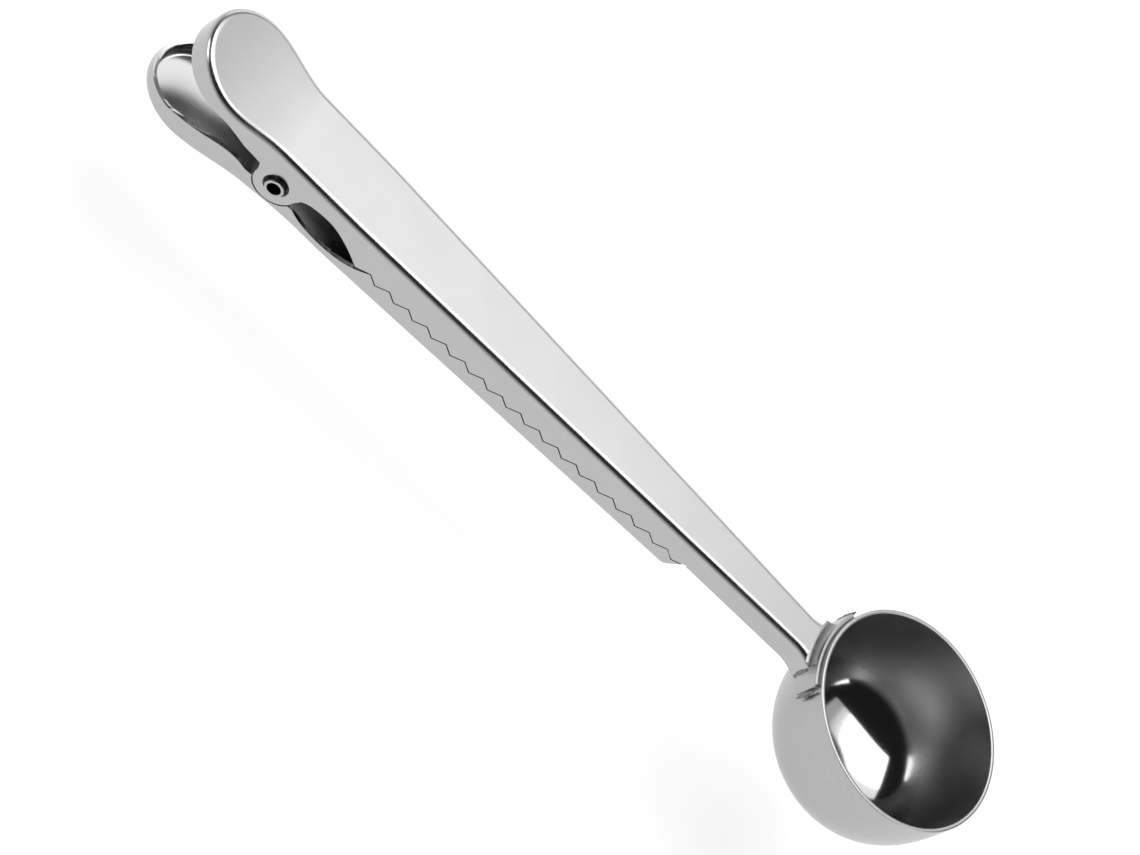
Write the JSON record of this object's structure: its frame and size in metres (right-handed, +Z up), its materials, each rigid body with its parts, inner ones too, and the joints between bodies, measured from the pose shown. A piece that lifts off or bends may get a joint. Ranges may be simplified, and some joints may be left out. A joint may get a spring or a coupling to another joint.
{
  "type": "coffee scoop bag clip",
  "caption": "Long steel coffee scoop with a drawn round bowl, whose channel handle is a spring clip with toothed jaws for closing a bag.",
  "frame": {"origin": "centre of the bowl's flat base, on the surface that the bowl stands on", "axes": "+Z up out of the bowl's mouth, +X from the handle's thumb end towards the bowl, +Y to the left of the handle"},
  "size_m": [0.1833, 0.038, 0.022],
  "materials": {
    "satin_steel": "satin, faintly brushed along the handle",
    "brushed_steel": "satin outside, polished and darker inside",
    "weld_metal": "dull, slightly rough weld bead",
    "pin_steel": "plain turned",
    "spring_steel": "plain drawn wire"
  },
  "bodies": {
    "scoop": {"handle": "satin_steel", "bowl": "brushed_steel", "weld_bead_left": "weld_metal", "weld_bead_right": "weld_metal", "pivot_pin": "pin_steel", "torsion_spring": "spring_steel"},
    "lever": {"clip_lever": "satin_steel"}
  },
  "joints": [
    {"name": "clip_hinge", "type": "hinge", "parent": "scoop", "child": "lever", "pos_m": [-0.1382, 0, 0.0132], "axis": [0, 1, 0], "range_deg": [0, 18], "stiffness_Nm_per_rad": 0.15, "springref_deg": -57.3, "deforming": ["torsion_spring"]}
  ]
}
